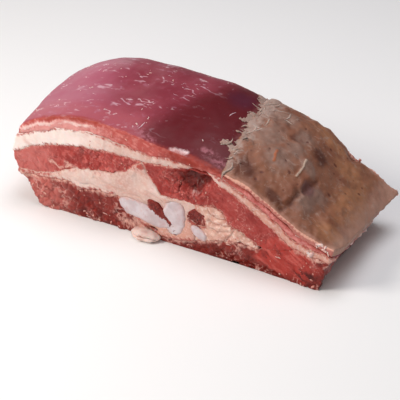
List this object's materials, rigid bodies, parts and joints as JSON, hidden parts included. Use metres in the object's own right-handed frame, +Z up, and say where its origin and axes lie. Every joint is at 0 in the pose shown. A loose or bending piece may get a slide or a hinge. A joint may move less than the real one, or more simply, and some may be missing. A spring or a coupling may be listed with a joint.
{
  "type": "raw beef rib block",
  "caption": "Raw block of beef rib, sawn square: rib bones and fat seams show in the front cut, a smooth muscle tops the thick end, a fat cap the thin end.",
  "frame": {"origin": "centre of the footprint, on the surface that the block lies on", "axes": "+X along the block from its thick end to its thin end, -Y out of the cut that shows the rib bones best, +Z up"},
  "size_m": [0.3038, 0.1234, 0.1062],
  "materials": {
    "bone": "moist sawn bone, faintly lilac",
    "dark_lean": "wet, dark red",
    "rib_lean": "wet dark red meat with pale net-like strands",
    "seam_fat": "smooth, waxy, cream",
    "lobe_fat": "waxy, cream with fold lines",
    "cut_lean": "moist cut meat with a coarse grain",
    "membrane_lean": "smooth moist purple-red membrane with white flecks",
    "cap_fat": "dried fat cap, brown to grey"
  },
  "bodies": {
    "root": {"rib_bone_large": "bone", "rib_bone_middle": "bone", "rib_bone_small": "bone", "lean_wedge_narrow": "dark_lean", "lean_wedge_wide": "dark_lean", "rib_muscle": "rib_lean", "lower_fat": "seam_fat", "fat_lobes": "lobe_fat", "left_muscle": "cut_lean", "right_muscle": "cut_lean", "upper_fat": "seam_fat", "cover_muscle": "membrane_lean", "fat_cap": "cap_fat", "fat_flap": "lobe_fat"}
  },
  "joints": []
}
